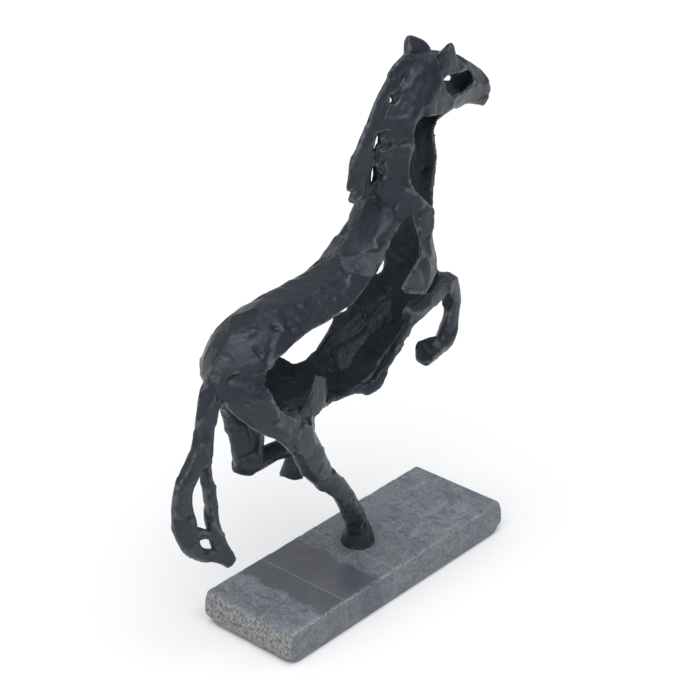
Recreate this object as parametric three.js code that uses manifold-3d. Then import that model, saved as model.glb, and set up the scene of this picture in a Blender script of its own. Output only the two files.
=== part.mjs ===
// Bronze horse statue on a marble base. An openwork lost-wax casting: thin curved walls, straps and rods
// that stand for a rearing horse, held to a stone block by one threaded stud in the standing hoof.
// Millimetres, +Z up, +X the way the horse faces, +Y the horse's left. The origin is under the base's middle.
import * as THREE from "three";
import { mergeVertices } from "three/addons/utils/BufferGeometryUtils.js";
import Module from "manifold-3d";

const wasm = await Module();
wasm.setup();

// ---- driving sizes ----
const BASE = { length: 221, width: 79, top: 25, corner: 2 };
// The sawn block is a little fuller half way up. Each row is a height, and how far its ends and its sides
// stand out from the top's outline there.
const BASE_LEVELS = [
  [1.1, -0.8, -0.7],
  [3.1, 1.2, 0.2],
  [10, 2.4, 0.6],
  [18, 1.8, 0.5],
  [24.3, 0, 0],
  [25, -0.7, -0.7],
];
const FELT = { thickness: 0.8, inset: 4 }; // the felt under the base, and how far it keeps from the edge
const GAP = 0.3; // clearance wherever one piece meets the next
const CUT_GAP = 0.4; // how far a neighbour is grown before it cuts, so that its corners clear too
const WALL = 3.6; // thickness of the cast walls
const HOOF = { x: 3, y: 3, height: 15 }; // the one hoof that stands on the base
const STUD = { radius: 3, bottom: 3, top: 36 };
const POCKET = { radius: 9, top: 9.5 }; // counterbore under the base for the nut
const WASHER = { radius: 7.5, thickness: 1.2 };
const NUT = { radius: 5.8, thickness: 4 }; // the radius is to the hexagon's corners
const SIDE = { right: -1, left: 1 };

const BRONZE = { color: 0x24282d, metalness: 0.85, roughness: 0.5 };
const MARBLE = { color: 0x74767b, metalness: 0, roughness: 0.45 };
const STEEL = { color: 0x9a9a98, metalness: 0.9, roughness: 0.35 };
const CLOTH = { color: 0x1e3326, metalness: 0, roughness: 1 };

const at = (x, y, z) => new THREE.Vector3(x, y, z);
const radians = THREE.MathUtils.degToRad;

// ---- solids ----

// A manifold solid of a geometry, turned face out when it came inside out.
function solidOf(geometry) {
  const bare = geometry.clone();
  bare.deleteAttribute("normal");
  bare.deleteAttribute("uv");
  const merged = mergeVertices(bare, 1e-4);
  const vertProperties = new Float32Array(merged.attributes.position.array);
  const triVerts = new Uint32Array(merged.index.array);
  const build = () => new wasm.Manifold(new wasm.Mesh({ numProp: 3, vertProperties, triVerts }));
  const solid = build();
  if (solid.volume() > 0) return solid;
  for (let i = 0; i < triVerts.length; i += 3) {
    [triVerts[i + 1], triVerts[i + 2]] = [triVerts[i + 2], triVerts[i + 1]];
  }
  return build();
}

function geometryOf(solid) {
  const mesh = solid.getMesh();
  const geometry = new THREE.BufferGeometry();
  geometry.setAttribute("position", new THREE.BufferAttribute(new Float32Array(mesh.vertProperties), 3));
  geometry.setIndex(new THREE.BufferAttribute(new Uint32Array(mesh.triVerts), 1));
  return geometry;
}

// The same solid with every face moved out by the clearance: what a neighbour is cut by.
function padded(solid, by = CUT_GAP) {
  const geometry = geometryOf(solid);
  geometry.computeVertexNormals();
  const { position, normal } = geometry.attributes;
  for (let i = 0; i < position.count; i++) {
    const moved = at().fromBufferAttribute(position, i);
    moved.addScaledVector(at().fromBufferAttribute(normal, i), by);
    position.setXYZ(i, moved.x, moved.y, moved.z);
  }
  return solidOf(geometry);
}

const joined = (...solids) => solids.reduce((sum, next) => sum.add(next));

// A piece cut clear of its neighbours. Only its largest lump is kept.
function clearOf(solid, ...neighbours) {
  const cut = neighbours.reduce((rest, next) => rest.subtract(padded(next)).subtract(next), solid);
  return cut.decompose().reduce((best, next) => (next.volume() > best.volume() ? next : best));
}

// Rings of points skinned into a closed solid. A ring runs along one side and back along the other, so
// each end closes as a strip between the two sides.
function skin(rings) {
  const count = rings[0].length;
  const points = rings.flat();
  const faces = [];
  const quad = (a, b, c, d) => faces.push(a, b, c, a, c, d);
  for (let i = 0; i < rings.length - 1; i++) {
    for (let j = 0; j < count; j++) {
      const next = (j + 1) % count;
      quad(i * count + j, i * count + next, (i + 1) * count + next, (i + 1) * count + j);
    }
  }
  const last = (rings.length - 1) * count;
  for (let j = 0; j < count / 2 - 1; j++) {
    const back = count - 1 - j;
    quad(back, back - 1, j + 1, j);
    quad(last + j, last + j + 1, last + back - 1, last + back);
  }
  const geometry = new THREE.BufferGeometry().setFromPoints(points);
  geometry.setIndex(faces);
  return solidOf(geometry);
}

// A smooth curve through rows of numbers, read by row index.
function smooth(rows) {
  const width = rows[0].length;
  const curves = [];
  for (let k = 0; k < width; k += 3) {
    const points = rows.map((row) => at(row[k], row[k + 1] ?? 0, row[k + 2] ?? 0));
    curves.push(new THREE.CatmullRomCurve3(points, false, "catmullrom", 0.5));
  }
  return (index) => {
    const t = THREE.MathUtils.clamp(index / (rows.length - 1), 0, 1);
    return curves.flatMap((curve) => curve.getPoint(t).toArray()).slice(0, width);
  };
}

// The same, read by the value in each row's first column.
function smoothBy(rows) {
  const row = smooth(rows);
  return (value) => {
    let i = 0;
    while (i < rows.length - 2 && value > rows[i + 1][0]) i++;
    return row(i + (value - rows[i][0]) / (rows[i + 1][0] - rows[i][0]));
  };
}

const steps = (from, to, count) =>
  Array.from({ length: count + 1 }, (_, i) => from + ((to - from) * i) / count);

// ---- the horse's forms ----

// Trunk and neck as one bent tube: the top line's x and z, the under line's x and z, and the half width,
// from the root of the tail to the jaw.
const TRUNK = smooth([
  [-137, 206, -137, 198, 4],
  [-132, 222, -130, 183, 15],
  [-119, 236, -117, 171, 25],
  [-100, 242, -99, 163, 31],
  [-78, 243.5, -75, 160, 34],
  [-55, 244.5, -49, 156, 36],
  [-33, 247, -21, 153, 37],
  [-12, 253, 7, 157, 37],
  [3, 264, 31, 174, 35],
  [12, 275, 53, 194, 32],
  [15, 288, 67, 217, 28],
  [14, 300, 74, 242, 25],
  [13, 312, 76, 268, 22],
  [16, 325, 76, 290, 20],
  [22, 338, 72.5, 307, 18],
  [32, 350, 73, 320, 17],
]);

// The head in the same way, from the end of the neck to the nose.
const HEAD = smooth([
  [32.6, 350.6, 73.5, 320.6, 17],
  [47, 362.5, 78, 321, 16.5],
  [62, 367, 82, 321, 16],
  [79, 363, 88, 321.5, 15],
  [95, 358, 97, 322.5, 13],
  [107, 351.5, 107.5, 321.5, 11],
  [116, 344.5, 114.5, 317, 10],
  [123, 336.5, 121, 315.5, 9.5],
  [127, 329, 126, 317, 6],
]);

// A point on a tube's surface: the station along it, the angle from its top line (left is positive), and
// how far inside the surface.
function onTube(tube, station, angle, inside = 0) {
  const [topX, topZ, underX, underZ, halfWidth] = tube(station);
  const top = at(topX, 0, topZ);
  const under = at(underX, 0, underZ);
  const height = top.distanceTo(under) / 2;
  const upward = top.clone().sub(under).normalize();
  return top
    .add(under)
    .multiplyScalar(0.5)
    .addScaledVector(upward, Math.max(height - inside, 0.4) * Math.cos(radians(angle)))
    .addScaledVector(at(0, 1, 0), Math.max(halfWidth - inside, 0.4) * Math.sin(radians(angle)));
}

// A cast wall that follows a tube. Each row of limits is a station and the angles the wall runs between.
function wallOn(tube, limits, { rings = 14, arcs = 8, wall = WALL, lift = 0 } = {}) {
  const span = smoothBy(limits);
  const stations = steps(limits[0][0], limits.at(-1)[0], rings);
  return skin(
    stations.map((station) => {
      const [, from, to] = span(station);
      const outer = steps(from, to, arcs).map((angle) => onTube(tube, station, angle, -lift));
      const inner = steps(to, from, arcs).map((angle) => onTube(tube, station, angle, wall - lift));
      return [...outer, ...inner];
    }),
  );
}

// A round-sided rod through rows of x, y, z, half depth (front to back) and half width (side to side).
function rod(rows, { rings = 10, around = 10, sideways = at(0, 1, 0) } = {}) {
  const row = smooth(rows);
  const path = (i) => at(...row(i).slice(0, 3));
  const end = rows.length - 1;
  return skin(
    steps(0, end, rings).map((i) => {
      const along = path(Math.min(i + 0.05, end)).sub(path(Math.max(i - 0.05, 0))).normalize();
      const deep = along.clone().cross(sideways).normalize();
      const wide = deep.clone().cross(along);
      const [, , , depth, width] = row(i);
      return steps(0, around - 1, around - 1).map((k) => {
        const angle = (2 * Math.PI * (k + 0.5)) / around;
        return path(i)
          .addScaledVector(wide, width * Math.cos(angle))
          .addScaledVector(deep, depth * Math.sin(angle));
      });
    }),
  );
}

// A plate between two edges, each a list of points, with its middle pushed out along a direction.
function plate(edge, otherEdge, bulge, { rings = 10, arcs = 5, wall = WALL } = {}) {
  const first = new THREE.CatmullRomCurve3(edge.map((p) => at(...p)), false, "catmullrom", 0.5);
  const second = new THREE.CatmullRomCurve3(otherEdge.map((p) => at(...p)), false, "catmullrom", 0.5);
  const push = at(...bulge);
  const inward = push.clone().normalize().multiplyScalar(-wall);
  return skin(
    steps(0, 1, rings).map((t) => {
      const across = steps(0, 1, arcs).map((q) =>
        first.getPoint(t).lerp(second.getPoint(t), q).addScaledVector(push, 4 * q * (1 - q)),
      );
      return [...across, ...across.map((p) => p.clone().add(inward)).reverse()];
    }),
  );
}

const mirrored = (rows, side) => rows.map(([x, y, z, ...rest]) => [x, side * y, z, ...rest]);

// ---- the stone and its fixing ----

function slabOutline(length, width, corner) {
  const [x, y] = [length / 2, width / 2];
  const outline = new THREE.Shape();
  outline.moveTo(-x + corner, -y).lineTo(x - corner, -y);
  outline.absarc(x - corner, -y + corner, corner, -Math.PI / 2, 0);
  outline.absarc(x - corner, y - corner, corner, 0, Math.PI / 2);
  outline.absarc(-x + corner, y - corner, corner, Math.PI / 2, Math.PI);
  outline.absarc(-x + corner, -y + corner, corner, Math.PI, 1.5 * Math.PI);
  return outline;
}

function upright(radius, bottom, top, sides = 24) {
  const geometry = new THREE.CylinderGeometry(radius, radius, top - bottom, sides);
  return solidOf(geometry.rotateX(Math.PI / 2).translate(HOOF.x, HOOF.y, (top + bottom) / 2));
}

function feltPad() {
  const outline = slabOutline(BASE.length - 2 * FELT.inset, BASE.width - 2 * FELT.inset, BASE.corner);
  return solidOf(
    new THREE.ExtrudeGeometry(outline, { depth: FELT.thickness, bevelEnabled: false, curveSegments: 4 }),
  );
}

function marbleBase() {
  const corners = BASE_LEVELS.flatMap(([z, ends, sides]) =>
    slabOutline(BASE.length + 2 * ends, BASE.width + 2 * sides, BASE.corner)
      .getPoints(4)
      .map((p) => [p.x, p.y, z]),
  );
  const block = wasm.Manifold.hull(corners);
  const bore = upright(STUD.radius + CUT_GAP, 0, BASE.top + 1);
  return block.subtract(bore).subtract(upright(POCKET.radius, 0, POCKET.top));
}

const WASHER_TOP = POCKET.top - GAP;
const NUT_TOP = WASHER_TOP - WASHER.thickness - GAP;
const clearOfStud = () => upright(STUD.radius + GAP, 0, BASE.top);

const threadedStud = () => upright(STUD.radius, STUD.bottom, STUD.top, 20);
const washer = () =>
  upright(WASHER.radius, WASHER_TOP - WASHER.thickness, WASHER_TOP).subtract(clearOfStud());
const hexNut = () => upright(NUT.radius, NUT_TOP - NUT.thickness, NUT_TOP, 6).subtract(clearOfStud());

// ---- back, belly and breast ----

// The back and rump in one wall, from the root of the tail to the crest of the neck.
const backShell = (thickness = {}) =>
  wallOn(
    TRUNK,
    [
      [0.35, -50, 70],
      [0.8, -50, 94],
      [1.26, -56, 96],
      [1.87, -69, 84],
      [2.3, -68, 76],
      [2.6, -61, 71],
      [3.14, -57, 64],
      [3.86, -50.5, 61],
      [4.62, -47.5, 58],
      [5.57, -46, 56],
      [6.83, -38.5, 54],
      [7.93, -35, 54],
      [8.51, -34, 54],
      [9.46, -43, 58],
      [10.05, -52, 61],
      [11, -57, 66],
    ],
    { rings: 32, arcs: 10, ...thickness },
  );

// The far half of the belly: a trough whose upper rim dips below the back, and whose lip comes round the
// under line.
const bellyShell = () =>
  wallOn(
    TRUNK,
    [
      [3.9, 96, 186],
      [4.6, 104, 195],
      [5.02, 112, 199],
      [5.3, 120, 197],
      [5.55, 129, 192],
      [6.0, 131, 190],
      [6.4, 129, 192],
      [6.85, 125.5, 193],
      [7.2, 121, 190],
      [7.4, 117.5, 188],
      [7.68, 124.8, 190],
      [7.95, 125.8, 192],
      [8.25, 116, 194],
      [8.6, 112, 195],
      [9.0, 130, 196],
      [9.35, 133, 198],
      [9.55, 131, 200],
    ],
    { rings: 34, arcs: 8 },
  );

// The strap along the under line, just below the trough's lip, from the breast to the lowest of the belly.
const bellyStrap = () =>
  rod(
    [
      [31, -23, 203, 3, 2.6],
      [27.4, -21.5, 194.6, 3, 2.6],
      [24.4, -17, 182, 3, 2.6],
      [19.5, -13, 170, 3, 2.6],
      [12.2, -11, 160, 3.6, 2.6],
      [2, -10.5, 153.6, 3.4, 2.6],
      [-6, -11, 153, 2.6, 2.4],
    ],
    { rings: 18, around: 10 },
  );

// The far shoulder and the front of the breast, up to the foot of the neck.
const breastShell = () =>
  wallOn(
    TRUNK,
    [
      [9.57, 129, 214],
      [9.75, 116, 213],
      [9.95, 92, 211],
      [10.2, 76, 207],
      [10.45, 66, 197],
      [10.8, 66, 188],
      [11.04, 67, 184],
    ],
    { rings: 9, arcs: 12 },
  );

// The narrow bridge on the right between the back and the breast, over the open flank.
const shoulderYoke = () =>
  wallOn(
    TRUNK,
    [
      [10.06, -54, -63],
      [10.2, -54, -76],
      [10.45, -54, -91],
      [10.8, -56, -92],
      [11.1, -66, -93],
    ],
    { rings: 8, arcs: 5 },
  );

// The near shoulder blade: a strip down the open flank from the yoke, ending in a lip over the foreleg.
const shoulderPlate = () =>
  wallOn(
    TRUNK,
    [
      [7.63, -68, -72],
      [8.1, -68, -86],
      [8.43, -70, -97],
      [8.8, -73, -106],
      [9.1, -75, -114],
      [9.5, -68, -114],
      [9.85, -64, -101],
      [10.1, -62, -92],
      [10.5, -58, -92],
    ],
    { rings: 14, arcs: 6 },
  );

// ---- neck and mane ----

const neckShell = () =>
  wallOn(
    TRUNK,
    [
      [11.03, -78, 183],
      [11.2, -63, 181],
      [11.73, -58, 180],
      [12.1, -58, 180],
      [12.6, -59, 184],
      [13.29, -63, 189],
      [14.18, -67, 190],
      [14.7, -82, 200],
      [15, -110, 215],
    ],
    { rings: 16, arcs: 12 },
  );

// The mane hangs down the crest as four flat locks.
const maneUpper = () =>
  rod(
    [
      [53, 1, 367, 3, 3.4],
      [45.9, 1, 366.5, 4.1, 4],
      [35.6, 1, 362.9, 4.6, 4],
      [28.4, 1, 354.2, 4.8, 4],
      [22.6, 1, 344.7, 6, 4],
      [16.4, 1, 333.7, 5.3, 4],
      [13, 1, 328.4, 5.8, 4.2],
    ],
    { rings: 20, around: 12 },
  );
const maneMiddle = () =>
  rod(
    [
      [13, 1, 328.4, 5.8, 4.2],
      [9.7, 1, 323.1, 6.3, 4.5],
      [3.2, 1, 312.1, 9, 4.5],
      [1.6, 1, 305, 9.6, 4.5],
      [4, 1, 297, 8, 4.2],
      [10, 0, 290.5, 5, 4],
    ],
    { rings: 20, around: 12 },
  );
const maneLock = () =>
  rod(
    [
      [4.6, 2, 309, 8, 4],
      [-0.5, 1.6, 303.5, 8.4, 4],
      [-5.6, 1.2, 299.8, 5.4, 3.4],
      [-10.4, 1, 297.4, 2, 2.4],
    ],
    { rings: 10, around: 12 },
  );
const maneTip = () =>
  rod(
    [
      [14.5, -2, 290.5, 4.4, 4.6],
      [9, -2, 292.2, 5.2, 4.8],
      [2.5, -2, 292.4, 5.8, 4.6],
      [-3.2, -2, 291, 4.4, 4],
      [-7.4, -2, 289, 2.2, 3],
      [-9.8, -2, 286.8, 1.4, 2],
    ],
    { rings: 12, around: 12 },
  );

// The slits between the locks and the neck run forward, down and to the left. Each row is a point on one,
// its width, its length and its tilt from upright.
const SLIT_RUN = at(0.71, 0.61, -0.37);
const MANE_SLITS = [
  [[30.9, 12, 313], 2.2, 13, 26],
  [[26.2, 12, 290.6], 2.2, 13, 12],
  [[39.4, 8, 340.4], 2.2, 7, 14],
];
function maneSlit([middle, width, length, tilt]) {
  const slit = new THREE.SphereGeometry(1, 12, 8).scale(width / 2, 34, length / 2).rotateY(radians(tilt));
  const turn = new THREE.Quaternion().setFromUnitVectors(at(0, 1, 0), SLIT_RUN.clone().normalize());
  return solidOf(slit.applyQuaternion(turn).translate(...middle));
}
const slitted = (solid) => MANE_SLITS.map(maneSlit).reduce((rest, slit) => rest.subtract(slit), solid);

// ---- head ----

// The window in each cheek, by station and the angles it opens between. The left one reaches further
// forward.
const CHEEK_WINDOW = {
  right: [
    [1.62, -80, -92],
    [1.8, -71, -99],
    [2.16, -66, -104],
    [2.65, -62, -104],
    [3.31, -62, -102],
    [3.96, -61, -98],
    [4.36, -61, -94],
    [4.62, -78, -91],
  ],
  left: [
    [1.62, 80, 92],
    [2.16, 66, 104],
    [3.31, 62, 102],
    [3.96, 62, 101],
    [4.4, 70, 102],
    [4.75, 92, 102],
  ],
};

function headShell() {
  const around = (inside, from, to, rings) =>
    skin(
      steps(from, to, rings).map((station) =>
        steps(-170, 170, 17).map((angle) => onTube(HEAD, station, angle, inside)),
      ),
    );
  const window = (limits) => wallOn(HEAD, limits, { rings: 10, arcs: 5, wall: 9, lift: 4 });
  return around(0, 0, 8, 18)
    .subtract(around(3, -0.2, 6.6, 13))
    .subtract(window(CHEEK_WINDOW.right))
    .subtract(window(CHEEK_WINDOW.left));
}

const EAR = {
  right: [
    [75, -7, 354, 9, 5],
    [74.8, -9, 360.6, 8, 5],
    [73.9, -11, 366.7, 5.6, 4],
    [73.1, -12.5, 371.2, 3.3, 3],
    [72.5, -13, 373.6, 1.2, 1.6],
  ],
  left: [
    [68.5, 7, 356, 10, 5],
    [67, 9, 362.9, 9.6, 5],
    [64.4, 11, 368.1, 7.8, 4.4],
    [63.3, 12.5, 372.8, 4.8, 3.4],
    [63.3, 13, 375.2, 2, 2],
  ],
};
const ear = (rows) => rod(rows, { rings: 9, around: 12 });

// ---- legs ----

// The haunch is a curved plate on each side, narrowing into the leg. The right one is tucked under the back
// at the top, and the left one meets the back's lower rim edge to edge.
const HAUNCH_REAR = {
  right: [
    [-129, 6, 219],
    [-135, 7.5, 209],
    [-136, 9, 198],
    [-127, 13, 183],
    [-114.5, 18, 170],
    [-103, 20, 162.5],
  ],
  left: [
    [-119, 6, 216],
    [-122, 8, 206],
    [-122, 10, 196],
    [-117, 14, 184],
    [-110, 18, 172],
    [-103, 20, 162.5],
  ],
};
const HAUNCH_FRONT = [
  [-113, 18, 220],
  [-116, 26, 213],
  [-117.5, 29.5, 205],
  [-113, 29, 194],
  [-103, 27.5, 181.5],
  [-95, 26, 175],
];
const haunch = (side, rear) =>
  plate(mirrored(rear, side), mirrored(HAUNCH_FRONT, side), [0, side * 5, -2], { rings: 16, arcs: 8 });
const leftHaunch = () => haunch(SIDE.left, HAUNCH_REAR.left).subtract(backShell({ wall: 34, lift: 6 }));

// The strap from the standing leg up to the lip of the belly, as pairs of points on its rear and front edges.
const FLANK_STRAP = [
  [[-57, -13, 186], [-44, -9.5, 178]],
  [[-60.5, -14, 180], [-43, -10.5, 170]],
  [[-66, -15.3, 175], [-47.5, -12.5, 164]],
  [[-73, -16.8, 172], [-55, -14.5, 160]],
  [[-80, -18.2, 167.5], [-61, -16, 155]],
  [[-84, -19.5, 160], [-65, -17, 148]],
];

function rightHindLeg() {
  const strap = plate(
    FLANK_STRAP.map(([rear]) => rear),
    FLANK_STRAP.map(([, front]) => front),
    [-1.4, -2, 0.8],
    { rings: 12, arcs: 5, wall: 4.4 },
  );
  const shin = rod(
    [
      [-104, -22.8, 173.5, 7.5, 3],
      [-93, -22, 165, 10.4, 5],
      [-81.8, -20, 155, 11.5, 6.6],
      [-71.2, -17.5, 139.1, 10.3, 7],
      [-59.3, -14, 118.9, 9.5, 7.5],
      [-47.8, -11.5, 105, 8.4, 7.3],
      [-35.2, -8.5, 91.8, 7.1, 6.8],
      [-22.8, -5.5, 76.9, 7, 6.6],
      [-9.2, -2, 57.6, 8.1, 7.3],
      [-4, 0, 48, 8, 7.6],
      [-0.5, 1.4, 40.7, 7, 7.4],
    ],
    { rings: 26, around: 12 },
  );
  return joined(strap, shin);
}

function leftHindLeg() {
  const thigh = rod(
    [
      [-90, 25, 190, 15, 4],
      [-87.5, 25, 176, 18.6, 5],
      [-86.1, 25, 164, 18, 6],
      [-85.6, 24, 153.4, 16.6, 6],
      [-84.7, 23, 141.1, 15, 6.5],
      [-84.7, 22, 129.5, 13.2, 7],
      [-84.4, 22, 119, 10, 6.6],
    ],
    { rings: 14, around: 12 },
  );
  const cannon = rod(
    [
      [-95.4, 22, 123.6, 5.2, 5.6],
      [-83, 22, 118, 7.4, 6.8],
      [-67.9, 22, 117.3, 6.9, 6.5],
      [-56.3, 22, 117.4, 6.4, 6.5],
      [-45, 22, 114.8, 5.4, 6],
      [-40, 22, 109.8, 5, 5.4],
      [-39.4, 22, 107, 4.8, 5],
    ],
    { rings: 12, around: 12 },
  );
  return joined(thigh, cannon);
}

// Both forelegs are raised and folded, the left one a little tighter. The shoulder rows hold where each
// leaves the body.
const LEFT_FOLD = 5;
const SHOULDER = {
  right: [
    [14, -29.5, 207, 6, 4],
    [22, -29, 207, 7.2, 5],
    [32, -27, 206.6, 7, 6],
    [47, -23, 207.6, 6.4, 6],
    [58, -21, 209.4, 6.9, 6.4],
  ],
  left: [
    [33, 24, 199, 5.6, 5],
    [41, 27, 195.5, 6.2, 5.6],
    [50, 26.5, 194.6, 6.4, 6],
    [57, 23.5, 199, 6.6, 6.4],
  ],
};

function foreleg(side, shoulder, fold) {
  const wrist = 73 - fold;
  const lower = [
    [wrist - 5.4, 20, 208.6, 8, 6.5],
    [wrist - 0.8, 20, 200, 7.2, 6.5],
    [wrist - 0.6, 20, 189, 5.4, 6],
    [wrist - 1.8, 20, 179, 5.9, 6],
    [wrist - 3.2 - fold / 2, 19, 170, 6.6, 6.4],
    [wrist - 8.6 - fold, 18.6, 163.8, 6.6, 6.2],
    [wrist - 15.5 - fold, 18, 162.6, 6, 6],
  ];
  return rod([...shoulder, ...mirrored(lower, side)], { rings: 24, around: 12 });
}

// A hoof between two points, with the radius at each end.
function hoof(from, to, radiusFrom, radiusTo) {
  const [a, b] = [at(...from), at(...to)];
  const middle = a.clone().lerp(b, 0.35).toArray();
  const middleRadius = radiusFrom + (radiusTo - radiusFrom) * 0.45;
  return rod(
    [
      [...from, radiusFrom, radiusFrom],
      [...middle, middleRadius, middleRadius],
      [...to, radiusTo, radiusTo],
    ],
    { rings: 6, around: 18 },
  );
}

const standingHoof = () =>
  hoof([HOOF.x, HOOF.y, BASE.top + GAP + HOOF.height], [HOOF.x, HOOF.y, BASE.top + GAP], 8, 12).subtract(
    upright(STUD.radius + GAP, BASE.top - 1, STUD.top + GAP),
  );
const raisedHindHoof = () => hoof([-39.2, 22, 106.2], [-42.1, 22, 90], 4.8, 7.9);
const raisedForeHoof = (side, fold) =>
  hoof([57.6 - 2 * fold, side * 18, 162.4], [46.4 - 2 * fold, side * 18, 162.6], 6.2, 8.2);

// ---- tail ----

const tailRoot = () =>
  rod(
    [
      [-122, -5, 219, 8, 6],
      [-131, -3, 212, 9, 7.4],
      [-137, -1, 203, 8.6, 7],
      [-141, 0, 193, 7.6, 6],
      [-143.7, 0, 184, 7.5, 5.6],
      [-145.7, 0, 171, 7.3, 5.5],
      [-147.6, 0, 161.5, 8.6, 5.5],
      [-148.6, 0, 156, 9.6, 5.4],
    ],
    { rings: 20, around: 12 },
  );

const tailOuterStrand = () =>
  rod(
    [
      [-152, 0, 162, 4.7, 4.8],
      [-158.2, 0, 155, 6.4, 5],
      [-163.6, 0, 148, 6.6, 5],
      [-166.6, 0, 139.6, 6.9, 5],
      [-167.7, 0, 130.6, 7.4, 5],
      [-166, 0, 118.5, 8.4, 5],
      [-163, 0, 107, 6.6, 4.6],
      [-159.3, 0, 97, 4.8, 4.5],
      [-152.8, 0, 89.4, 4, 4],
      [-142.8, 0, 84, 3.6, 3.6],
      [-134, 0, 78.5, 3.2, 3.2],
    ],
    { rings: 24, around: 10 },
  );

const tailInnerStrand = () =>
  rod(
    [
      [-144.6, 0, 160, 4, 4.6],
      [-144.3, 0, 151.8, 3.8, 4.5],
      [-144, 0, 141.7, 4.2, 4.5],
      [-142.7, 0, 131.4, 3.8, 4.5],
      [-141.4, 0, 122.8, 3.6, 4.5],
      [-140.6, 0, 114.4, 3.8, 4.5],
      [-139.5, 0, 105, 5, 4.8],
      [-136.9, 0, 95.8, 5.6, 4.8],
      [-133.2, 0, 85.7, 6, 4.6],
      [-128.6, 0, 77, 6, 4.2],
      [-125.8, 0, 72.6, 4.6, 3.6],
    ],
    { rings: 20, around: 10 },
  );

const tailLink = () =>
  rod(
    [
      [-159, 0, 109.4, 2.8, 3.6],
      [-151.3, 0, 105.3, 2.5, 3.3],
      [-142, 0, 99.8, 2.8, 3.6],
    ],
    { rings: 8, around: 12 },
  );

// ---- the assembly ----

function buildPieces() {
  const pieces = new Map();
  // Adds a piece, cut clear of the ones named after it.
  const add = (look, name, solid, ...touching) => {
    pieces.set(name, { solid: clearOf(solid, ...touching.map((other) => pieces.get(other).solid)), look });
  };
  const cast = (...piece) => add(BRONZE, ...piece);

  add(CLOTH, "felt_pad", feltPad());
  add(MARBLE, "marble_base", marbleBase());
  add(STEEL, "threaded_stud", threadedStud());
  add(STEEL, "washer", washer());
  add(STEEL, "hex_nut", hexNut());

  cast("back_shell", slitted(backShell()));
  cast("neck_shell", slitted(neckShell()));
  cast("breast_shell", breastShell(), "back_shell", "neck_shell");
  cast("shoulder_yoke", shoulderYoke(), "back_shell", "neck_shell", "breast_shell");
  cast("belly_shell", bellyShell(), "back_shell", "breast_shell");
  cast("belly_strap", bellyStrap(), "belly_shell");
  cast("shoulder_plate", shoulderPlate(), "shoulder_yoke", "back_shell", "breast_shell", "belly_shell");

  cast("mane_upper", slitted(maneUpper()), "neck_shell");
  cast("mane_middle", slitted(maneMiddle()), "neck_shell", "back_shell", "mane_upper");
  cast("mane_lock", maneLock(), "neck_shell", "back_shell", "mane_middle");
  cast("mane_tip", maneTip(), "neck_shell", "back_shell", "mane_middle", "mane_lock");
  cast("head_shell", headShell(), "neck_shell", "mane_upper");
  cast("right_ear", ear(EAR.right), "head_shell");
  cast("left_ear", ear(EAR.left), "head_shell", "mane_upper");

  cast("right_haunch", haunch(SIDE.right, HAUNCH_REAR.right), "back_shell");
  cast("left_haunch", leftHaunch(), "back_shell");
  cast("right_hind_hoof", standingHoof(), "threaded_stud");
  cast("right_hind_leg", rightHindLeg(), "right_hind_hoof", "right_haunch", "belly_shell", "belly_strap");
  cast("left_hind_leg", leftHindLeg(), "left_haunch", "back_shell", "belly_shell");
  cast("left_hind_hoof", raisedHindHoof(), "left_hind_leg");

  const rightForeleg = foreleg(SIDE.right, SHOULDER.right, 0);
  const leftForeleg = foreleg(SIDE.left, SHOULDER.left, LEFT_FOLD);
  cast("right_foreleg", rightForeleg, "shoulder_plate", "breast_shell", "belly_shell", "belly_strap");
  cast("right_fore_hoof", raisedForeHoof(SIDE.right, 0), "right_foreleg");
  cast("left_foreleg", leftForeleg, "belly_shell", "breast_shell");
  cast("left_fore_hoof", raisedForeHoof(SIDE.left, LEFT_FOLD), "left_foreleg");

  cast("tail_root", tailRoot(), "back_shell", "right_haunch", "left_haunch");
  cast("tail_outer_strand", tailOuterStrand(), "tail_root");
  cast("tail_inner_strand", tailInnerStrand(), "tail_root", "tail_outer_strand");
  cast("tail_link", tailLink(), "tail_outer_strand", "tail_inner_strand");
  return pieces;
}

const statue = new THREE.Group();
statue.name = "bronze_horse_statue";
for (const [name, { solid, look }] of buildPieces()) {
  const mesh = new THREE.Mesh(geometryOf(solid), new THREE.MeshStandardMaterial(look));
  mesh.name = name;
  statue.add(mesh);
}

export default statue;
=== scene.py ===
"""The looks of the bronze horse statue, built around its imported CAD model.

The frame is in metres, +X the way the horse faces, +Y its left, +Z up, and its origin is the middle of the
base's underside. Sculpting is worked out in millimetres, and turned to metres as each mesh is made.
"""

import math

import bmesh
import bpy
import numpy as np
import openvdb
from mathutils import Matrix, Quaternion, Vector, kdtree


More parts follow.
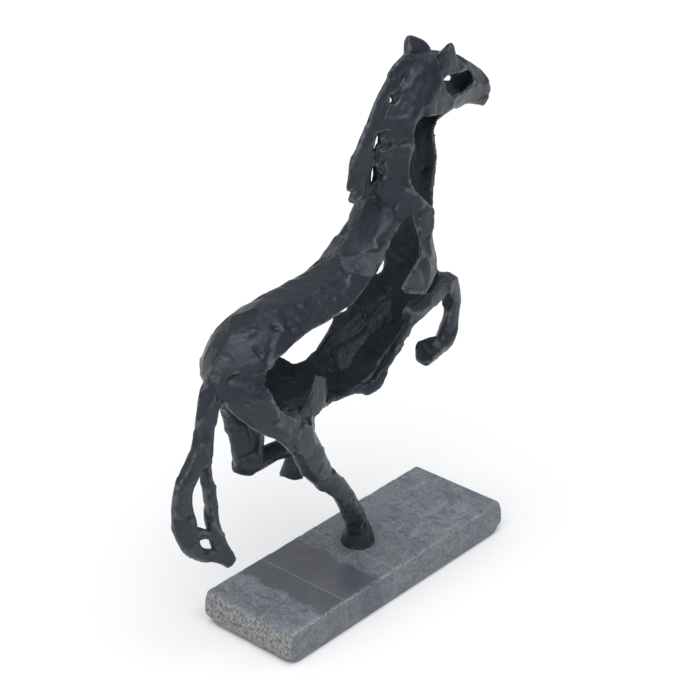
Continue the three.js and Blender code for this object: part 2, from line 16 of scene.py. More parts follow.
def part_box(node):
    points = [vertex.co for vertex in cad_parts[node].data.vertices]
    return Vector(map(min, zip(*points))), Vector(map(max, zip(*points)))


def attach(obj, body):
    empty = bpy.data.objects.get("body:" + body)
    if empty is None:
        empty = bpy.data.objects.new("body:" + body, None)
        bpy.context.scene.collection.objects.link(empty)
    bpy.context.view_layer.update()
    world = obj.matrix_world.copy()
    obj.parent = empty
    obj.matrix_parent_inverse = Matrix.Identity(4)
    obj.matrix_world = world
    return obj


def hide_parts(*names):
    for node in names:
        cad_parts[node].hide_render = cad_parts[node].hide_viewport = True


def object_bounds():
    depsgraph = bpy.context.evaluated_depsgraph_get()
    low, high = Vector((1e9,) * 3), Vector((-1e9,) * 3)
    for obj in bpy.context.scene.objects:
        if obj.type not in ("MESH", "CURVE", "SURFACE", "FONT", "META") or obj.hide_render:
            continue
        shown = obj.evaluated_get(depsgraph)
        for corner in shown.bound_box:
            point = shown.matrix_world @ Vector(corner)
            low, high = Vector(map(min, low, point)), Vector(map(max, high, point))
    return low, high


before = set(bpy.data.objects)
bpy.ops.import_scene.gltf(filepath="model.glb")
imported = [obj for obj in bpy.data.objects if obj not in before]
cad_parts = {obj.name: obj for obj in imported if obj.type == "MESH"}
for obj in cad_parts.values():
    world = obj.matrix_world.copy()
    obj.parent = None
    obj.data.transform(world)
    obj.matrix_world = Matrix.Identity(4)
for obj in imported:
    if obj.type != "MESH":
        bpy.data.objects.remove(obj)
cad_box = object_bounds()

MM = 0.001
cad_low, cad_high = (np.array(corner) / MM for corner in cad_box)
STONE_NODES = ("marble_base", "felt_pad", "threaded_stud", "washer", "hex_nut")
BRONZE_NODES = [name for name in sorted(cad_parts) if name not in STONE_NODES]

# ---- small tools ----


def in_mm(node):
    """A CAD node's box, as its lowest and highest corner in millimetres."""
    return [np.array(corner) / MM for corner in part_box(node)]


def fade(value, start, end):
    """0 before start, 1 after end, and a smooth step between them."""
    t = np.clip((value - start) / (end - start), 0, 1)
    return t * t * (3 - 2 * t)


def noise(points, size, seed):
    """Smooth noise between -1 and 1, in lumps of about the given size."""
    side = 32
    table = np.random.default_rng(seed).uniform(-1, 1, (side, side, side))
    cell = np.floor(points / size)
    share = points / size - cell
    share = share * share * (3 - 2 * share)
    cell = cell.astype(int)
    total = np.zeros(len(points))
    for corner in np.ndindex(2, 2, 2):
        weight = np.prod(np.where(corner, share, 1 - share), axis=1)
        x, y, z = ((cell + corner) % side).T
        total += weight * table[x, y, z]
    return total


def noise_vector(points, size, seed):
    return np.stack([noise(points, size, seed + axis) for axis in range(3)], axis=1)


def links(quads):
    """Each edge of a mesh of quads, once, as two columns of point numbers."""
    pairs = np.concatenate([np.stack([quads[:, i], quads[:, i - 1]], axis=1) for i in range(4)])
    return np.unique(np.sort(pairs, axis=1), axis=0)


def neighbour_mean(points, edges):
    a, b = edges.T
    count = np.bincount(np.concatenate([a, b]), minlength=len(points))
    total = np.stack(
        [
            np.bincount(a, points[b, axis], len(points)) + np.bincount(b, points[a, axis], len(points))
            for axis in range(3)
        ],
        axis=1,
    )
    return total / count[:, None]


def smoothed(points, edges, rounds):
    """Points relaxed towards their neighbours and pushed back again, which keeps the volume."""
    for _ in range(rounds):
        for step in (0.5, -0.53):
            points = points + step * (neighbour_mean(points, edges) - points)
    return points


def normals(points, quads):
    a, b, c, d = (points[quads[:, i]] for i in range(4))
    face = np.cross(c - a, d - b)
    total = np.zeros_like(points)
    for i in range(4):
        for axis in range(3):
            total[:, axis] += np.bincount(quads[:, i], face[:, axis], len(points))
    return total / np.maximum(np.linalg.norm(total, axis=1, keepdims=True), 1e-9)


def make_mesh(name, points, faces, look):
    """A smooth-shaded object from points in millimetres."""
    mesh = bpy.data.meshes.new(name)
    mesh.from_pydata((points * MM).tolist(), [], faces if isinstance(faces, list) else faces.tolist())
    mesh.polygons.foreach_set("use_smooth", [True] * len(mesh.polygons))
    mesh.materials.append(look)
    mesh.update()
    piece = bpy.data.objects.new(name, mesh)
    bpy.context.scene.collection.objects.link(piece)
    return piece


def tag(piece, name, values):
    """Stores one number for each point, which the piece's material reads by name."""
    layer = piece.data.attributes.new(name, "FLOAT", "POINT")
    layer.data.foreach_set("value", values.astype(np.float32))


def stand_for(piece, node):
    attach(piece, "root")
    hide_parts(node)


# ---- distance fields: a solid as the distance to its surface, on a grid ----


class Grid:
    """A grid of cubes of one size, and how far from a surface its distances are kept."""

    def __init__(self, voxel, band=5):
        self.voxel = voxel
        self.band = band
        self.transform = openvdb.createLinearTransform(voxelSize=voxel)

    def distances(self, node):
        """The first cube of a CAD node's block, and each cube's distance from the node's surface."""
        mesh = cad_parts[node].data
        points = np.empty(len(mesh.vertices) * 3, np.float32)
        mesh.vertices.foreach_get("co", points)
        points = points.reshape(-1, 3) / MM
        mesh.calc_loop_triangles()
        triangles = np.array([t.vertices for t in mesh.loop_triangles], np.uint32)
        field = openvdb.FloatGrid.createLevelSetFromPolygons(
            points.astype(np.float32), triangles=triangles, transform=self.transform, halfWidth=self.band
        )
        low = np.floor(points.min(0) / self.voxel).astype(int) - self.band
        high = np.ceil(points.max(0) / self.voxel).astype(int) + self.band + 1
        block = np.empty(tuple(high - low), np.float32)
        field.copyToArray(block, ijk=tuple(int(v) for v in low))
        return low, block

    def surface(self, low, block):
        """The mesh of quads where a block's distance is zero."""
        field = openvdb.FloatGrid()
        field.background = self.band * self.voxel
        field.transform = self.transform
        field.copyFromArray(block, ijk=tuple(int(v) for v in low), tolerance=0.0)
        points, _, quads = field.convertToPolygons(isovalue=0.0, adaptivity=0.0)
        return points.astype(float), quads.astype(np.int64)


# ---- the bronze: one welded casting, modelled as a whole and then shared out among the pieces ----

BRONZE_VOXEL = 1.0
STONE_VOXEL = 0.9
CAST_BAND = 7  # cubes, enough that the widest weld stays inside the distances that are kept
WELD = 3.0  # how far the fillet of a weld reaches
WIDE_WELD = 7.0  # the same where a lock of the mane, the near foreleg or the far haunch joins the body
WIDE_WELDED = ("mane_upper", "mane_middle", "mane_lock", "mane_tip", "right_foreleg", "left_haunch")
SWELL = 0.25  # what the smoothing takes off thin edges is put back all over
LAP = 0.5  # how far a piece runs on under its neighbour
LAP_SLOPE = 0.35  # how fast that lap thins out
FLAT_SHARE = 0.7  # how nearly the wax is pressed down to its flats
# Beads of weld, each a radius and the points it runs through
BEADS = [
    # between the belly and the standing leg
    (4.0, [(-66, -5, 161), (-70, -6, 161), (-73, -8, 160)]),
    # the web behind the strap of the belly
    (1.8, [(32, -4.6, 173.6), (21, -4.6, 165.8), (13.8, -4.6, 160.3), (6, -4.6, 155.6)]),
    # the thick lower edge of that strap, and the lip of the belly behind it
    (2.4, [(13, -12.6, 158.8), (7.5, -12.4, 154.4), (2.5, -12.4, 152), (-5, -12.6, 151.4)]),
    (2.2, [(-30, -6, 154.8), (-20.7, -6, 154.6), (-11.8, -7, 154.4), (-4, -9, 152.5)]),
]
HEAD_HOLLOW = (82, 0, 342)  # the middle of the hollow behind the cheek windows
THICKER = {"right_ear": 0.5, "left_ear": 0.5}  # thin tips that the smoothing would wear away
# The hollows between the locks of the mane, on the horse's right, and the slit under the edge of the back.
# Each is a middle, half its width, length and depth, and its tilt towards the head. The deep ones are slits
# that go right through.
HOLLOW_DEPTH = (0.71, 0.61, -0.37)
HOLLOWS = [
    [(30.9, 12, 313), (1.9, 7, 60), 16],
    [(26.2, 12, 290.6), (1.9, 7, 60), 2],
    [(39.4, 8, 340.4), (1.8, 4.4, 60), 4],
    [(30.6, -4, 347), (3.2, 6.4, 2.4), 30],
    [(17.2, -6, 322), (4.2, 8, 2.4), 30],
    [(14.2, -5, 302), (4.6, 8.5, 2.4), 24],
    [(30.0, -2.5, 361), (2.6, 2, 1.6), 60],
    [(-20.4, -5, 217.4), (1.7, 5.5, 60), 52],
]
# Single strokes of the modelling tool: how high (or deep), how wide, and the line each follows.
STROKES = [
    # the folds down the rump and the dents beside them
    (-0.8, 2.4, [(-97, -17, 236), (-108, -22, 227), (-117, -24, 215)]),
    (0.6, 3.4, [(-92, -17, 238), (-103, -23, 230), (-112, -26, 217)]),
    (-1.5, 1.8, [(-116, -18, 228), (-115, -20, 225)]),
    (-1.5, 1.7, [(-98, -16, 237), (-96, -18, 235)]),
    (-1.5, 1.7, [(-90, -19, 235), (-88, -21, 233)]),
    # the long ridges of the back
    (0.8, 3.5, [(-66, -14, 242), (-34, -16, 243), (-8, -12, 250)]),
    (1.0, 3.2, [(2, -12, 260), (10, -16, 269), (17, -18, 280), (24, -20, 290)]),
    # the arch over the thigh, and the thigh's raised front and lower rims
    (-0.8, 3.6, [(-133, -9, 212), (-127, -19, 211), (-119, -28, 210)]),
    (1.1, 1.7, [(-117, -29, 205), (-113, -29, 194), (-103, -27, 182), (-95, -26, 175), (-88, -24, 168)]),
    (-0.8, 2.4, [(-123, -26, 204), (-119, -27, 194), (-110, -27, 182)]),
    (1.2, 1.9, [(-135, -10, 197), (-127, -14, 183), (-113, -21, 171), (-100, -25, 161), (-77, -16, 130)]),
    # the folds and the lip of the shoulder plate
    (0.9, 2.2, [(26, -29, 250), (31, -32, 240), (34, -32, 228)]),
    (-0.8, 2.0, [(21, -30, 250), (25, -33, 236), (28, -33, 226)]),
    (1.1, 1.6, [(11, -34, 227), (27, -33, 221)]),
    # long streaks in the far wall of the belly
    (0.8, 2.2, [(-3, 23, 171), (21, 17, 178), (43, 14, 194)]),
    (-0.7, 2.0, [(-20, 26, 166), (4, 25, 178), (30, 20, 192)]),
    # the fold round the neck, and the flats above it
    (-1.0, 1.6, [(14, -2, 313), (19, -9, 320), (28, -15, 320)]),
    (0.8, 2.6, [(17, -8, 312), (24, -14, 314), (32, -17, 316)]),
    (0.7, 3.0, [(50, -12, 354), (40, -12, 344), (33, -14, 334)]),
    # lips, nostrils and the line of the standing hoof
    (-0.9, 1.3, [(126, -8, 325), (118, -9.4, 325), (110, -9, 324)]),
    (-0.9, 1.3, [(126, 8, 325), (118, 9.4, 325), (110, 9, 324)]),
    (-1.0, 1.4, [(122, -7, 331.5), (119, -8, 331)]),
    (-1.0, 1.4, [(122, 7, 331.5), (119, 8, 331)]),
    (-0.6, 1.3, [(-5, 9, 36), (-5, -3, 36), (2, -6.5, 36), (7, -5.6, 36), (11, 0, 36), (8, 8, 36)]),
]


def smooth_least(a, b, reach):
    """The lesser of two distances, with a fillet where they are nearly the same."""
    near = np.clip(1 - np.abs(a - b) / reach, 0, None)
    return np.minimum(a, b) - reach / 4 * near * near


class Casting:
    """All the bronze pieces as one field, with what it takes to share the field out again."""

    def __init__(self, grid, nodes):
        self.grid = grid
        self.blocks = {node: grid.distances(node) for node in nodes}
        self.low = np.min([low for low, _ in self.blocks.values()], axis=0)
        high = np.max([low + block.shape for low, block in self.blocks.values()], axis=0)
        self.nearest = np.full(tuple(high - self.low), grid.band * grid.voxel, np.float32)
        self.second = self.nearest.copy()
        self.body = self.nearest.copy()
        grown = self.nearest.copy()
        for node, (low, block) in self.blocks.items():
            part = self.window(low, block)
            self.second[part] = np.minimum(self.second[part], np.maximum(self.nearest[part], block))
            self.nearest[part] = np.minimum(self.nearest[part], block)
            whole = grown if node in WIDE_WELDED else self.body
            whole[part] = smooth_least(whole[part], block - THICKER.get(node, 0), WELD)
        self.body = smooth_least(self.body, grown, WIDE_WELD)

    def window(self, low, block):
        start = low - self.low
        return tuple(slice(s, s + n) for s, n in zip(start, block.shape))

    def around(self, lowest, highest):
        """The part of the field between two corners, and where each of its cubes is in millimetres."""
        start = np.maximum(np.floor(lowest / self.grid.voxel).astype(int), self.low)
        stop = np.ceil(highest / self.grid.voxel).astype(int) + 1
        stop = np.minimum(stop, self.low + self.body.shape)
        part = tuple(slice(a, b) for a, b in zip(start - self.low, stop - self.low))
        cubes = np.mgrid[tuple(slice(a, b) for a, b in zip(start, stop))]
        return part, np.stack(cubes, axis=-1) * self.grid.voxel

    def carve(self, centre, radii, tilt):
        """Takes an egg-shaped hollow out of the casting: its half width, half length and half depth."""
        reach = max(radii)
        part, place = self.around(np.array(centre) - reach, np.array(centre) + reach)
        inwards = Vector(HOLLOW_DEPTH).normalized()
        across = inwards.cross((0, 0, 1)).normalized()
        turn = Quaternion(inwards, math.radians(tilt))
        axes = np.array([turn @ across, turn @ across.cross(inwards), inwards])
        share = np.linalg.norm((place - centre) @ axes.T / radii, axis=-1)
        self.body[part] = np.maximum(self.body[part], (1 - share) * min(radii))

    def fill(self, radius, line):
        """Adds a bead of weld along a line through a few points."""
        margin = radius + 2 * WELD
        part, place = self.around(np.min(line, axis=0) - margin, np.max(line, axis=0) + margin)
        gap = near_line(place.reshape(-1, 3), line).reshape(place.shape[:3])
        self.body[part] = smooth_least(self.body[part], gap - radius, WELD)

    def whole(self):
        return self.grid.surface(self.low, self.body)

    def piece(self, node):
        """A piece's own share: what lies nearer to it than to any other piece, with a thin lap beyond."""
        low, block = self.blocks[node]
        part = self.window(low, block)
        others = np.where(block <= self.nearest[part], self.second[part], self.nearest[part])
        across = (block - others) / 2
        inside = self.body[part] + LAP_SLOPE * np.maximum(across, 0)
        return self.grid.surface(low, np.maximum(inside, across - LAP))


FLAT_AREA = 260  # square millimetres of surface to each flat
FLAT_TURN = 13  # how far apart, in millimetres, two points count as when their surfaces are at right angles


def spatula_flats(points, quads):
    """How far to move each point along its normal to lie on the nearest of many small flats.

    The flats are planes through scattered points of the surface, as a spatula leaves them in wax.
    """
    out = normals(points, quads)
    place = np.concatenate([points, out * FLAT_TURN], axis=1).astype(np.float32)
    a, b, c, d = (points[quads[:, i]] for i in range(4))
    area = np.linalg.norm(np.cross(c - a, d - b), axis=1).sum() / 2
    centres = place[np.random.default_rng(71).choice(len(points), int(area / FLAT_AREA), replace=False)]
    for _ in range(3):
        group = nearest_of(place, centres)
        count = np.maximum(np.bincount(group, minlength=len(centres)), 1)[:, None]
        centres = np.stack([np.bincount(group, place[:, k], len(centres)) for k in range(6)], axis=1) / count
    middle, facing = centres[:, :3], centres[:, 3:]
    facing = facing / np.maximum(np.linalg.norm(facing, axis=1, keepdims=True), 1e-6)
    height = np.sum((points - middle[group]) * facing[group], axis=1)
    return -np.clip(height, -1.6, 1.6)


def nearest_of(places, centres):
    """The number of the centre nearest to each place."""
    centres = centres.astype(np.float32)
    size = np.sum(centres * centres, axis=1)
    rows = [np.argmin(size - 2 * part @ centres.T, axis=1) for part in np.array_split(places, 60)]
    return np.concatenate(rows)


def near_line(points, line):
    """The distance from each point to a line through a few points."""
    gap = np.full(len(points), np.inf)
    for start, end in zip(line[:-1], line[1:]):
        along = np.subtract(end, start)
        share = np.clip((points - start) @ along / (along @ along), 0, 1)
        gap = np.minimum(gap, np.linalg.norm(points - start - share[:, None] * along, axis=1))
    return gap


def model_wax(points, quads):
    """The founder's touch: soft bends, flats left by the spatula, small dents, ridges and creases."""
    edges = links(quads)
    shaped = smoothed(points, edges, 6)
    shaped = shaped + SWELL * normals(shaped, quads)
    stone_top = in_mm("marble_base")[1][2]
    free = fade(shaped[:, 2], stone_top + 2, stone_top + 22)[:, None]
    flats = spatula_flats(shaped, quads)
    flats = neighbour_mean(np.repeat(flats[:, None], 3, axis=1), edges)[:, :1]
    out = normals(shaped, quads)
    lumps = 0.4 * noise(shaped, 15, 31) + 0.2 * noise(shaped, 6, 33)
    pits = -0.35 * fade(noise(shaped, 4.5, 34), 0.45, 0.8)
    strokes = sum(rise * np.exp(-((near_line(shaped, line) / width) ** 2)) for rise, width, line in STROKES)
    shaped = shaped + free * out * (FLAT_SHARE * flats + (lumps + pits + strokes)[:, None])
    shaped = shaped + free * (0.5 * noise_vector(shaped, 24, 11) + 0.25 * noise_vector(shaped, 10, 21))
    return smoothed(shaped, edges, 2)


def edge_wear(points, quads):
    """How sharply the surface turns outwards at each point, from -1 in a crease to 1 on a rim."""
    edges = links(quads)
    out = normals(points, quads)
    bend = np.sum((points - neighbour_mean(points, edges)) * out, axis=1)
    for _ in range(2):
        bend = neighbour_mean(np.repeat(bend[:, None], 3, axis=1), edges)[:, 0]
    return np.clip(bend / 0.12, -1, 1)


def inner_face_light(points, quads):
    """1 where the head's surface looks in towards its hollow, 0 where it looks out: the share of painted
    light inside the head.
    """
    inward = HEAD_HOLLOW - points
    inward = inward / np.maximum(np.linalg.norm(inward, axis=1, keepdims=True), 1e-6)
    return fade(np.sum(inward * normals(points, quads), axis=1), 0.0, 0.4)


def cast_horse(look):
    casting = Casting(Grid(BRONZE_VOXEL, CAST_BAND), BRONZE_NODES)
    for centre, radii, tilt in HOLLOWS:
        casting.carve(centre, radii, tilt)
    for radius, line in BEADS:
        casting.fill(radius, line)
    points, quads = casting.whole()
    shaped = model_wax(points, quads)
    wear = edge_wear(shaped, quads)
    moves = shaped - points
    tree = kdtree.KDTree(len(points))
    for i, point in enumerate(points):
        tree.insert(point, i)
    tree.balance()
    for node in BRONZE_NODES:
        own, faces = casting.piece(node)
        near = np.array([tree.find(point)[1] for point in own])
        shape = np.clip(own + moves[near], cad_low, cad_high)
        piece = make_mesh(node + "_cast", shape, faces, look)
        tag(piece, "wear", wear[near])
        # the inside of the head gets painted light in its material, by this share
        tag(piece, "inner_face_light", inner_face_light(own, faces) if node == "head_shell" else np.zeros(len(own)))
        stand_for(piece, node)


# ---- the stone, its felt and its fixing ----


def stone_base(look):
    grid = Grid(STONE_VOXEL, band=4)
    points, quads = grid.surface(*grid.distances("marble_base"))
    edges = links(quads)
    low, high = in_mm("marble_base")
    points = smoothed(points, edges, 3)
    out = normals(points, quads)
    x, y, z = points.T
    rough_end = fade(-out[:, 0], 0.5, 0.9) * fade(-x, high[0] - 6, high[0] - 3)
    below_top = high[2] - z
    from_side = np.minimum(high[0] - np.abs(x), high[1] - np.abs(y))
    rim = (1 - fade(below_top, 0.6, 2.2)) * (1 - fade(from_side, 0.6, 2.6))
    chips = fade(noise(points, 3.2, 51), 0.1, 0.8) * rim
    depth = 0.25 * rim + 0.8 * chips + rough_end * (0.35 + 0.35 * noise(points, 2.4, 52))
    corner = fade(np.abs(x), high[0] - 9, high[0]) * fade(np.abs(y), high[1] - 9, high[1])
    foot = corner * fade(-z, -8, -1)
    depth = depth + 3 * foot
    points = points - out * depth[:, None]
    piece = make_mesh("marble_base_stone", points, quads, look)
    tag(piece, "rough_end", rough_end)
    tag(piece, "rim", np.clip(rim * 1.2, 0, 1))
    stand_for(piece, "marble_base")


def felt(look):
    """The felt pad: the CAD pad's outline with its edges softened."""
    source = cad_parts["felt_pad"].data
    shape = bmesh.new()
    shape.from_mesh(source)
    bmesh.ops.remove_doubles(shape, verts=shape.verts, dist=0.01 * MM)
    bmesh.ops.dissolve_limit(shape, angle_limit=math.radians(3), verts=shape.verts, edges=shape.edges)
    sharp = [edge for edge in shape.edges if edge.calc_face_angle(0) > math.radians(40)]
    bmesh.ops.bevel(shape, geom=sharp, offset=0.35 * MM, segments=3, affect="EDGES")
    mesh = bpy.data.meshes.new("felt_pad_cloth")
    shape.to_mesh(mesh)
    shape.free()
    mesh.polygons.foreach_set("use_smooth", [True] * len(mesh.polygons))
    mesh.materials.append(look)
    piece = bpy.data.objects.new("felt_pad_cloth", mesh)
    bpy.context.scene.collection.objects.link(piece)
    stand_for(piece, "felt_pad")


def thread(look):
    """The stud with a real screw thread: a rod whose radius follows a helix."""
    low, high = in_mm("threaded_stud")
    radius, pitch, depth = (high[0] - low[0]) / 2, 1.0, 0.55
    around, rings = 32, int((high[2] - low[2]) / pitch * 10)
    centre = (low[:2] + high[:2]) / 2
    turn = np.linspace(0, 1, around, endpoint=False)
    height = np.linspace(low[2], high[2], rings + 1)
    phase = (height[:, None] / pitch - turn[None, :]) % 1
    groove = depth * np.abs(2 * phase - 1)
    from_end = np.minimum(height - low[2], high[2] - height)[:, None]
    reach = radius - 0.02 - groove - np.clip(0.8 - from_end, 0, None)
    angle = 2 * math.pi * turn[None, :]
    wall = np.stack(
        [
            centre[0] + reach * np.cos(angle),
            centre[1] + reach * np.sin(angle),
            np.broadcast_to(height[:, None], reach.shape),
        ],
        axis=2,
    ).reshape(-1, 3)
    faces = []
    for ring in range(rings):
        for k in range(around):
            a, b = ring * around + k, ring * around + (k + 1) % around
            faces.append([a, b, b + around, a + around])
    faces.append(list(range(around))[::-1])
    faces.append([rings * around + k for k in range(around)])
    piece = make_mesh("threaded_stud_screw", wall, faces, look)
    stand_for(piece, "threaded_stud")


# ---- materials ----


class Look:
    """A node material, built up call by call around one Principled shader."""

    def __init__(self, name):
        self.material = bpy.data.materials.new(name)
        self.material.use_nodes = True
        self.tree = self.material.node_tree
        self.shader = self.tree.nodes["Principled BSDF"]
        place = self.add("ShaderNodeTexCoord")
        self.place = place.outputs["Object"]

    def add(self, kind, **settings):
        node = self.tree.nodes.new(kind)
        for key, value in settings.items():
            setattr(node, key, value)
        return node

    def link(self, source, target):
        self.tree.links.new(source, target)

    def set(self, **values):
        for key, value in values.items():
            self.shader.inputs[key.replace("_", " ")].default_value = value

    def noise(self, size, detail=3.0, rough=0.5, stretch=(1, 1, 1), warp=0.0):
        """A noise pattern with lumps of about the given size in millimetres."""
        mapping = self.add("ShaderNodeMapping")
        mapping.inputs["Scale"].default_value = [s / (size * MM) for s in stretch]
        self.link(self.place, mapping.inputs["Vector"])
        pattern = self.add("ShaderNodeTexNoise")
        pattern.inputs["Scale"].default_value = 1
        pattern.inputs["Detail"].default_value = detail
        pattern.inputs["Roughness"].default_value = rough
        pattern.inputs["Distortion"].default_value = warp
        self.link(mapping.outputs["Vector"], pattern.inputs["Vector"])
        return pattern.outputs["Fac"]

    def position(self, axis):
        """Where a point lies along one axis, in millimetres."""
        apart = self.add("ShaderNodeSeparateXYZ")
        self.link(self.place, apart.inputs[0])
        return self.math("DIVIDE", apart.outputs[axis], MM)

    def attribute(self, name):
        return self.add("ShaderNodeAttribute", attribute_name=name).outputs["Fac"]

    def between(self, value, start, end, low=0.0, high=1.0):
        """A value taken from start..end to low..high, and held there outside it."""
        node = self.add("ShaderNodeMapRange", interpolation_type="SMOOTHSTEP")
        for key, number in (("From Min", start), ("From Max", end), ("To Min", low), ("To Max", high)):
            node.inputs[key].default_value = number
        self.link(value, node.inputs["Value"])
        return node.outputs["Result"]

    def math(self, operation, a, b):
        node = self.add("ShaderNodeMath", operation=operation)
        for socket, value in zip(node.inputs, (a, b)):
            if isinstance(value, (int, float)):
                socket.default_value = value
            else:
                self.link(value, socket)
        return node.outputs[0]

    def mix(self, share, a, b, mode="MIX"):
        """Colour a turning to colour b as share goes from 0 to 1."""
        node = self.add("ShaderNodeMix", data_type="RGBA", blend_type=mode)
        for socket, value in ((node.inputs["Factor"], share), (node.inputs["A"], a), (node.inputs["B"], b)):
            if isinstance(value, (int, float)):
                socket.default_value = value
            elif isinstance(value, tuple):
                socket.default_value = (*value, 1)
            else:
                self.link(value, socket)
        return node.outputs["Result"]

    def bump(self, height, distance, strength=1.0):
        """Adds a bump of a depth in millimetres to those already there."""
        node = self.add("ShaderNodeBump")
        node.inputs["Distance"].default_value = distance * MM
        node.inputs["Strength"].default_value = strength
        self.link(height, node.inputs["Height"])
        normal = self.shader.inputs["Normal"]
        if normal.is_linked:
            self.link(normal.links[0].from_socket, node.inputs["Normal"])
        self.link(node.outputs["Normal"], normal)

    def colour(self, source):
        self.link(source, self.shader.inputs["Base Color"])

    def roughness(self, source):
        self.link(source, self.shader.inputs["Roughness"])


def bronze_look():
    """Dark blue-black patina, greyer where it is rubbed on the ridges and blacker in the hollows, with
    painted light on the inside of the head.
    """
    look = Look("patinated_bronze")
    cloud = look.noise(38, 3)
    mottle = look.noise(7, 4, 0.6)
    colour = look.mix(look.between(cloud, 0.35, 0.65), (0.011, 0.014, 0.021), (0.018, 0.021, 0.027))
    colour = look.mix(look.between(mottle, 0.5, 0.72, 0, 0.7), colour, (0.025, 0.027, 0.031))
    wear = look.attribute("wear")
    rub = look.math("MULTIPLY", look.between(wear, 0.25, 0.9), look.between(look.noise(5, 3), 0.35, 0.6))
    colour = look.mix(look.math("MULTIPLY", rub, 0.7), colour, (0.100, 0.102, 0.106))
    colour = look.mix(look.between(wear, -0.8, -0.2, 0.6, 0.0), colour, (0.004, 0.005, 0.008))
    # painted light on the inside of the head: the surfaces that look in towards its hollow are coloured pale
    colour = look.mix(look.attribute("inner_face_light"), colour, (0.20, 0.22, 0.26))
    look.colour(colour)
    look.roughness(look.between(mottle, 0.3, 0.75, 0.31, 0.46))
    look.set(Metallic=0.0, IOR=1.45, Specular_Tint=(0.80, 0.89, 1.0, 1))
    look.bump(look.noise(1.1, 3, 0.6), 0.07)
    look.bump(look.noise(5.5, 4, 0.55, (1, 1, 0.6), 0.8), 0.55)
    return look.material


# The marble's bands, by how far along the base they lie in millimetres.
DARK_BAND = (-79, -23)  # the blue-grey band, polished smoother than the rest
MIDDLE_BAND = (-23, 26)  # a little darker than the two ends
PALE_LINES = (-58, -7, 65)  # thin pale veins straight across


def marble_look():
    """Speckled grey marble with a wide dark band, thin pale veins, pale chipped edges with a painted
    highlight along the top rim, a painted leg shadow and one rough end.
    """
    look = Look("banded_marble")
    wander = look.between(look.noise(18, 3, 0.6, (0.5, 1, 1)), 0.25, 0.75, -4, 4)
    along = look.math("ADD", look.position("X"), wander)

    def band(limits, soft):
        start, end = limits
        begun = look.between(along, start - soft, start + soft)
        return look.math("MULTIPLY", begun, look.between(along, end + soft, end - soft))

    on_top = look.between(look.position("Z"), 23.2, 24.6, 0.4, 1)
    dark_band = look.math("MULTIPLY", band(DARK_BAND, 2.5), on_top)
    middle_band = look.math("MULTIPLY", band(MIDDLE_BAND, 7), on_top)
    calm = look.between(dark_band, 0, 1, 1, 0.3)

    light = look.mix(look.between(look.noise(21, 3), 0.4, 0.62), (0.172, 0.184, 0.210), (0.150, 0.168, 0.180))
    blotch = look.between(look.noise(8, 4, 0.7, (1, 0.4, 1), 1.2), 0.49, 0.60, 0, 0.75)
    light = look.mix(blotch, light, (0.085, 0.095, 0.125))
    wisp = look.between(look.noise(13, 5, 0.65, (0.45, 1, 1), 1.8), 0.50, 0.62, 0, 0.7)
    light = look.mix(wisp, light, (0.235, 0.250, 0.275))
    light = look.mix(look.math("MULTIPLY", middle_band, 0.35), light, (0.095, 0.100, 0.115))
    dark = look.mix(look.between(look.noise(17, 3), 0.35, 0.65), (0.080, 0.083, 0.100), (0.098, 0.097, 0.108))
    colour = look.mix(dark_band, light, dark)

    # painted shadow of the standing hind leg: a darker, bluer patch on the top of the stone under the leg
    leg_shadow = look.math("MULTIPLY", look.between(along, -48, -40), look.between(along, -17, -27))
    leg_shadow = look.math("MULTIPLY", leg_shadow, look.between(look.position("Y"), -4, -14))
    colour = look.mix(look.math("MULTIPLY", leg_shadow, 0.6), colour, (0.048, 0.062, 0.088))

    speck = look.noise(1.4, 5, 0.75, (0.7, 1, 1))
    pale = look.math("MULTIPLY", look.between(speck, 0.5, 0.66, 0, 0.6), calm)
    colour = look.mix(pale, colour, (0.31, 0.32, 0.34))
    deep = look.math("MULTIPLY", look.between(speck, 0.5, 0.36, 0, 0.6), calm)
    colour = look.mix(deep, colour, (0.060, 0.067, 0.085))
    for middle in PALE_LINES:
        apart = look.math("ABSOLUTE", look.math("SUBTRACT", look.position("X"), middle), 0)
        colour = look.mix(look.between(apart, 1.3, 0.3, 0, 0.3), colour, (0.28, 0.29, 0.31))

    colour = look.mix(look.between(on_top, 0.4, 1, 0.28, 0), colour, (0.070, 0.080, 0.098))

    rough_end = look.attribute("rough_end")
    chips = look.between(look.noise(2.6, 6, 0.8), 0.38, 0.60)
    broken = look.mix(chips, (0.085, 0.086, 0.09), (0.33, 0.328, 0.318))
    colour = look.mix(look.math("MULTIPLY", rough_end, 0.9), colour, broken)
    # pale chips along the top edges, partly a painted highlight on the rim, strongest at the end that faces
    # the lights
    chips_and_rim_highlight = look.math("MULTIPLY", look.attribute("rim"), look.between(look.noise(2.2, 5, 0.7), 0.4, 0.62))
    chips_and_rim_highlight = look.math("MULTIPLY", chips_and_rim_highlight, look.between(along, 70, -20, 0.35, 1))
    colour = look.mix(look.math("MULTIPLY", chips_and_rim_highlight, 0.7), colour, (0.36, 0.365, 0.375))
    look.colour(colour)
    rough = look.math("ADD", look.between(dark_band, 0, 1, 0.5, 0.34), look.math("MULTIPLY", rough_end, 0.3))
    look.roughness(rough)
    look.bump(speck, 0.12)
    return look.material


def steel_look():
    look = Look("plated_steel")
    mottle = look.noise(1.5, 3)
    look.colour(look.mix(mottle, (0.42, 0.42, 0.40), (0.60, 0.60, 0.58)))
    look.roughness(look.between(mottle, 0.3, 0.7, 0.28, 0.42))
    look.set(Metallic=1.0)
    look.bump(look.noise(0.4, 2), 0.02)
    return look.material


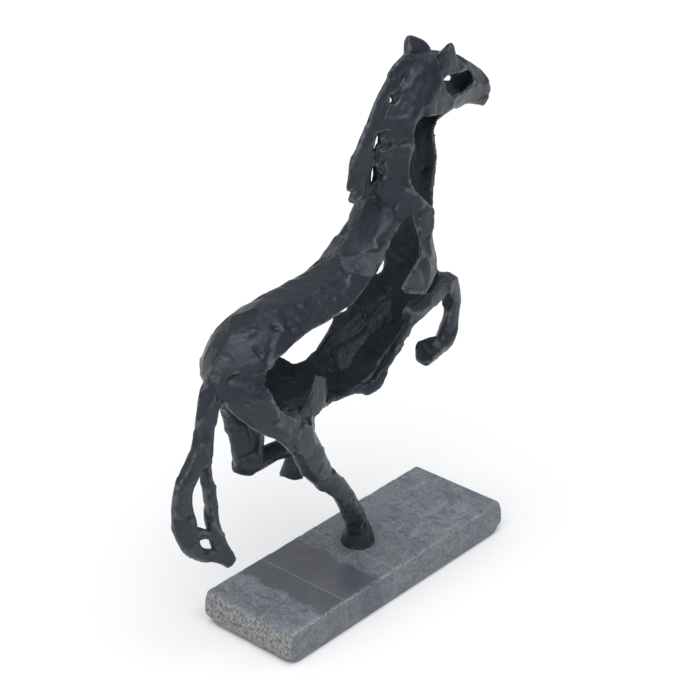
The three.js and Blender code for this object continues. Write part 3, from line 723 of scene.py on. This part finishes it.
def felt_look():
    look = Look("green_felt")
    fluff = look.noise(0.9, 5, 0.7)
    look.colour(look.mix(fluff, (0.012, 0.035, 0.024), (0.035, 0.075, 0.055)))
    look.roughness(look.between(fluff, 0.3, 0.7, 0.85, 0.98))
    look.set(Sheen_Weight=0.5)
    look.bump(fluff, 0.25)
    return look.material


def floor_look():
    look = Look("pale_floor")
    look.set(Base_Color=(0.9, 0.9, 0.9, 1), Roughness=0.9)
    return look.material


# ---- floor, light and camera ----

CAMERA_AZIMUTH = math.radians(-48.74)
CAMERA_ELEVATION = math.radians(27.21)
CAMERA_AIM = Vector((-0.0167, -0.0069, 0.1861))
CAMERA_DISTANCE = 1.3634
CAMERA_LENS = 107.2


def direction(azimuth, elevation):
    """The way out from the object: azimuth 0 is towards -Y, and 90 degrees towards +X."""
    flat = math.cos(elevation)
    return Vector((math.sin(azimuth) * flat, -math.cos(azimuth) * flat, math.sin(elevation)))


def aim(thing, place, target):
    thing.location = place
    thing.rotation_mode = "QUATERNION"
    thing.rotation_quaternion = (target - place).to_track_quat("-Z", "Y")


def make_camera():
    data = bpy.data.cameras.new("camera")
    data.lens = CAMERA_LENS
    data.sensor_width = 36
    camera = bpy.data.objects.new("camera", data)
    bpy.context.scene.collection.objects.link(camera)
    way = direction(CAMERA_AZIMUTH, CAMERA_ELEVATION)
    aim(camera, CAMERA_AIM + CAMERA_DISTANCE * way, CAMERA_AIM)
    bpy.context.scene.camera = camera


def soft_light(name, azimuth, elevation, spread, power, colour):
    """A far, wide light, like a large window or a bright ceiling; the spread is in degrees."""
    data = bpy.data.lights.new(name, "SUN")
    data.angle = math.radians(spread)
    data.energy = power
    data.color = colour
    light = bpy.data.objects.new(name, data)
    bpy.context.scene.collection.objects.link(light)
    aim(light, direction(math.radians(azimuth), math.radians(elevation)), Vector((0, 0, 0)))


def make_floor(look):
    side = 30  # metres, so that its edge is never in view
    mesh = bpy.data.meshes.new("floor")
    corners = [(-side, -side, 0), (side, -side, 0), (side, side, 0), (-side, side, 0)]
    mesh.from_pydata(corners, [], [(0, 1, 2, 3)])
    mesh.materials.append(look)
    floor = bpy.data.objects.new("floor", mesh)
    floor.location.z = -0.2 * MM
    bpy.context.scene.collection.objects.link(floor)


def make_world():
    world = bpy.data.worlds.new("studio")
    world.use_nodes = True
    background = world.node_tree.nodes["Background"]
    background.inputs["Color"].default_value = (0.88, 0.94, 1.0, 1)
    background.inputs["Strength"].default_value = 0.45
    bpy.context.scene.world = world


bpy.context.scene.view_settings.view_transform = "Standard"
make_world()
make_floor(floor_look())
make_camera()
soft_light("ceiling", -40, 70, 60, 2.2, (1.0, 0.985, 0.97))
soft_light("window", -85, 42, 60, 0.65, (1.0, 0.985, 0.96))

steel = steel_look()
cast_horse(bronze_look())
stone_base(marble_look())
felt(felt_look())
thread(steel)
for node in ("washer", "hex_nut"):
    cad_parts[node].data.materials.clear()
    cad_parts[node].data.materials.append(steel)
